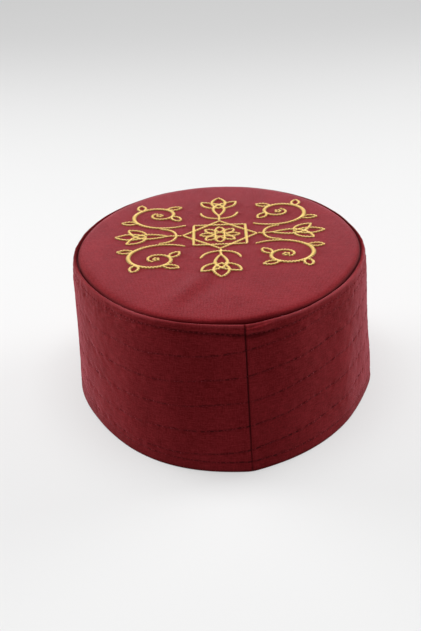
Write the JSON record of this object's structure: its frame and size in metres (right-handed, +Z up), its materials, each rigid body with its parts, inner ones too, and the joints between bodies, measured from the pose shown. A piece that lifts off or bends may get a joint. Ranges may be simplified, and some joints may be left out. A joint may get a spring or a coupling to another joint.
{
  "type": "prayer cap",
  "caption": "Soft pillbox prayer cap: a flat oval embroidered crown sewn into an upright quilted cloth band that stands on its rim, hollow and open below.",
  "frame": {"origin": "middle of the bounding box at the rim, on the surface that the cap stands on", "axes": "+Z up through the crown, +Y along the oval's long way and away from the band's upright seam, +X across the head"},
  "size_m": [0.1701, 0.2047, 0.0845],
  "materials": {
    "band_cloth": "matt burgundy cloth, quilted",
    "crown_cloth": "matt burgundy cloth, plain weave",
    "sewing_thread": "dark burgundy sewing thread",
    "gold_thread": "glossy gold embroidery thread"
  },
  "bodies": {
    "root": {"side_band": "band_cloth", "crown": "crown_cloth"}
  },
  "joints": []
}
